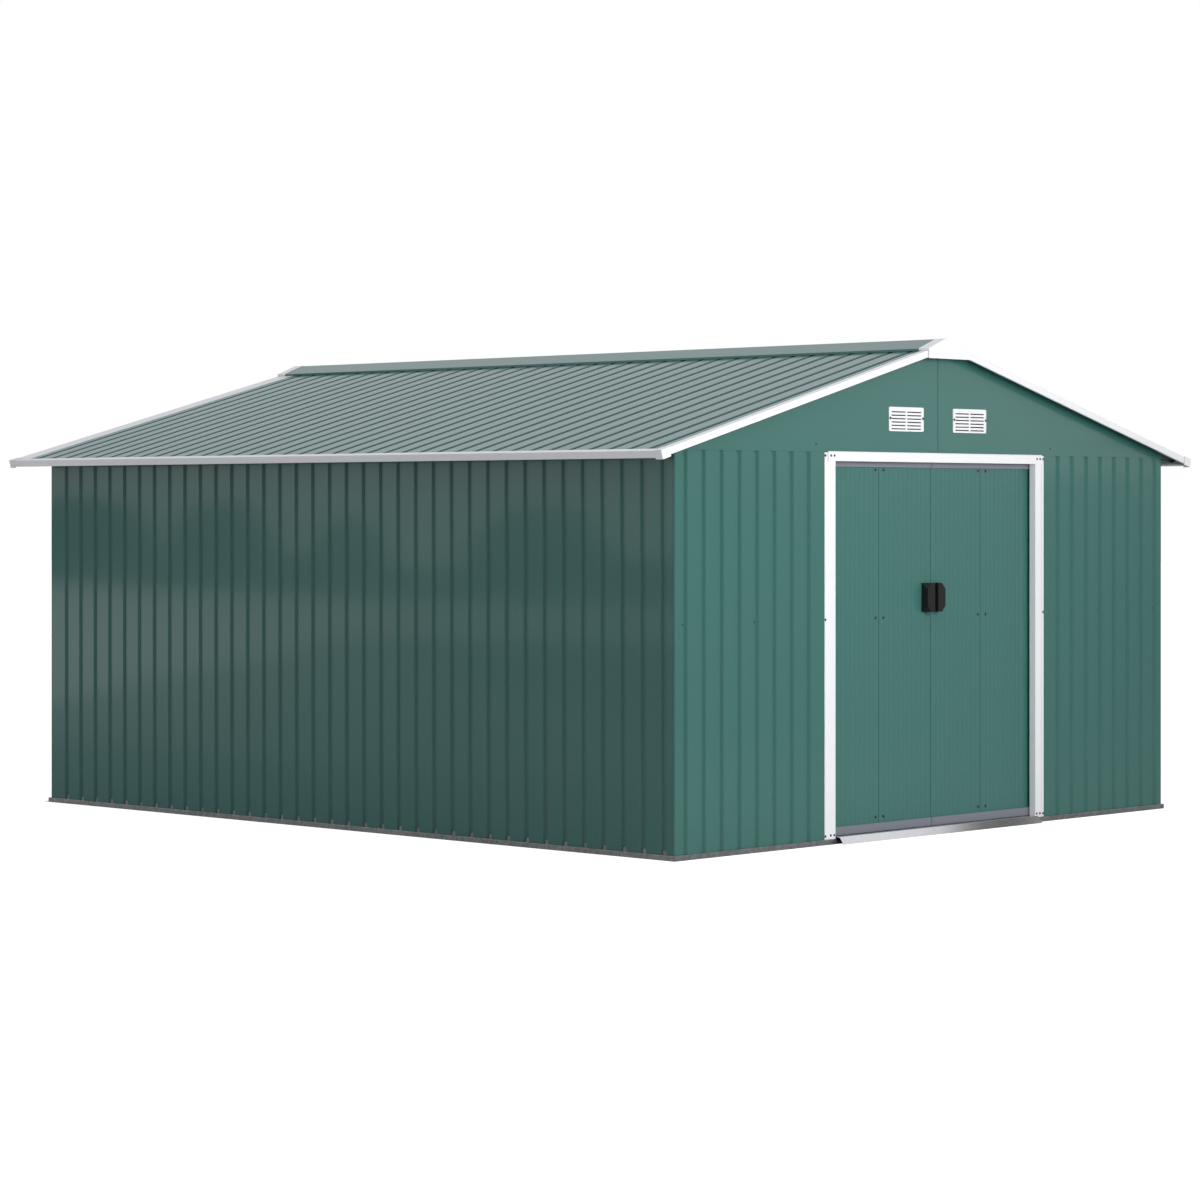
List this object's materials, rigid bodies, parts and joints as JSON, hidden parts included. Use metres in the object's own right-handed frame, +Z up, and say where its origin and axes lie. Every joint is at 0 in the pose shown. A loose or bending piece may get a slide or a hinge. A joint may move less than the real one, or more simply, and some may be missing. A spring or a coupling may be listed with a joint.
{
  "type": "metal garden storage shed",
  "caption": "Ribbed sheet metal storage shed with a low gable roof, white trims, louvred gable vents and a pair of sliding doors.",
  "frame": {"origin": "on the floor below the middle of the roof's outline", "axes": "+Z up, -Y out of the door gable, +X to the right seen from the doors' side"},
  "size_m": [3.43, 3.962, 1.9962],
  "materials": {
    "wall_green": "satin coated steel sheet, muted green",
    "roof_green": "satin coated steel sheet, muted green",
    "door_green": "satin coated steel sheet, muted green",
    "trim_white": "satin white coated steel",
    "door_rail_grey": "smooth grey coated steel",
    "handle_black": "moulded black plastic",
    "glide_nylon": "moulded nylon",
    "galvanized": "galvanized steel"
  },
  "bodies": {
    "shed": {"back_cross_rail": "galvanized", "back_gable": "wall_green", "back_wall": "wall_green", "base_rail_back": "galvanized", "base_rail_left": "galvanized", "base_rail_right": "galvanized", "base_rails_front": "galvanized", "corner_posts": "galvanized", "door_header": "trim_white", "door_jamb_left": "trim_white", "door_jamb_right": "trim_white", "door_sill": "galvanized", "door_track_bottom": "galvanized", "door_track_top": "galvanized", "eave_corner_caps": "trim_white", "eave_rails": "galvanized", "eave_trim_left": "trim_white", "eave_trim_right": "trim_white", "front_gable": "wall_green", "front_wall_left": "wall_green", "front_wall_right": "wall_green", "left_roof": "roof_green", "left_wall": "wall_green", "mid_rails": "galvanized", "purlins": "galvanized", "rake_trims_back": "trim_white", "rake_trims_front": "trim_white", "ridge_beam": "galvanized", "ridge_cap": "roof_green", "ridge_end_back": "trim_white", "ridge_end_front": "trim_white", "right_roof": "roof_green", "right_wall": "wall_green", "vents_back": "trim_white", "vents_front": "trim_white"},
    "left_door": {"left_door_bottom_rail": "door_rail_grey", "left_door_brace": "galvanized", "left_door_glides": "glide_nylon", "left_door_handle": "handle_black", "left_door_panels": "door_green", "left_door_top_rail": "door_rail_grey"},
    "right_door": {"right_door_bottom_rail": "door_rail_grey", "right_door_brace": "galvanized", "right_door_glides": "glide_nylon", "right_door_handle": "handle_black", "right_door_panels": "door_green", "right_door_top_rail": "door_rail_grey"}
  },
  "joints": [
    {"name": "left_door_slide", "type": "slide", "parent": "shed", "child": "left_door", "axis": [-1, 0, 0], "range_m": [0, 0.585]},
    {"name": "right_door_slide", "type": "slide", "parent": "shed", "child": "right_door", "axis": [1, 0, 0], "range_m": [0, 0.585]}
  ]
}
